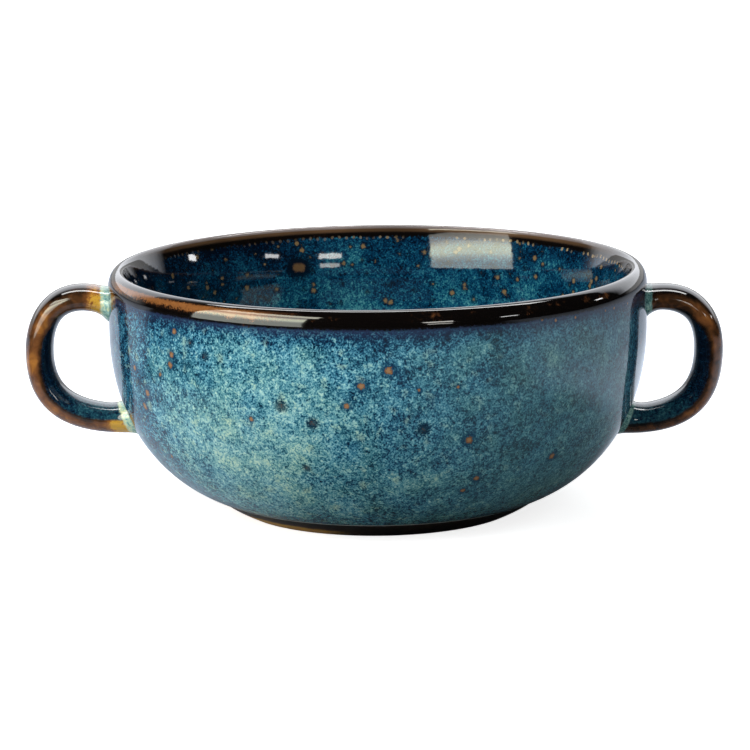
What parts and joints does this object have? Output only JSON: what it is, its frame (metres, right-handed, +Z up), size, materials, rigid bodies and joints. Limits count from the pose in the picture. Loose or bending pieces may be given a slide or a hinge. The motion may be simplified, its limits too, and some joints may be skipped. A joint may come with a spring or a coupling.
{
  "type": "soup bowl",
  "caption": "Round glazed stoneware soup bowl with an upright wall, a low flared foot and an open finger loop on each side, for serving and carrying hot soup.",
  "frame": {"origin": "middle of the foot's rest face, under the middle of the bowl", "axes": "+Z up through the bowl's mouth, X along the two handles with the left handle at -X, -Y towards the front"},
  "size_m": [0.1975, 0.1518, 0.069],
  "materials": {
    "clay": "fired brown stoneware, covered by glaze",
    "foot_clay": "dark iron-washed stoneware, bare and ground on the rest face",
    "pooled_glaze": "glossy pale green and cream glaze pooled over slip",
    "blue_glaze": "glossy mottled blue and teal reactive glaze with brown spots",
    "navy_glaze": "glossy dark navy glaze with tan spots",
    "iron_glaze": "glossy iron brown to black glaze",
    "handle_glaze": "glossy amber brown glaze, navy on the inside of the loop"
  },
  "bodies": {
    "root": {"bowl_body": "clay", "foot_ring": "foot_clay", "left_handle": "clay", "right_handle": "clay", "left_upper_joint": "pooled_glaze", "left_lower_joint": "pooled_glaze", "right_upper_joint": "pooled_glaze", "right_lower_joint": "pooled_glaze", "outer_glaze": "blue_glaze", "inner_glaze": "navy_glaze", "rim_glaze": "iron_glaze", "left_handle_glaze": "handle_glaze", "right_handle_glaze": "handle_glaze", "base_glaze": "navy_glaze"}
  },
  "joints": []
}
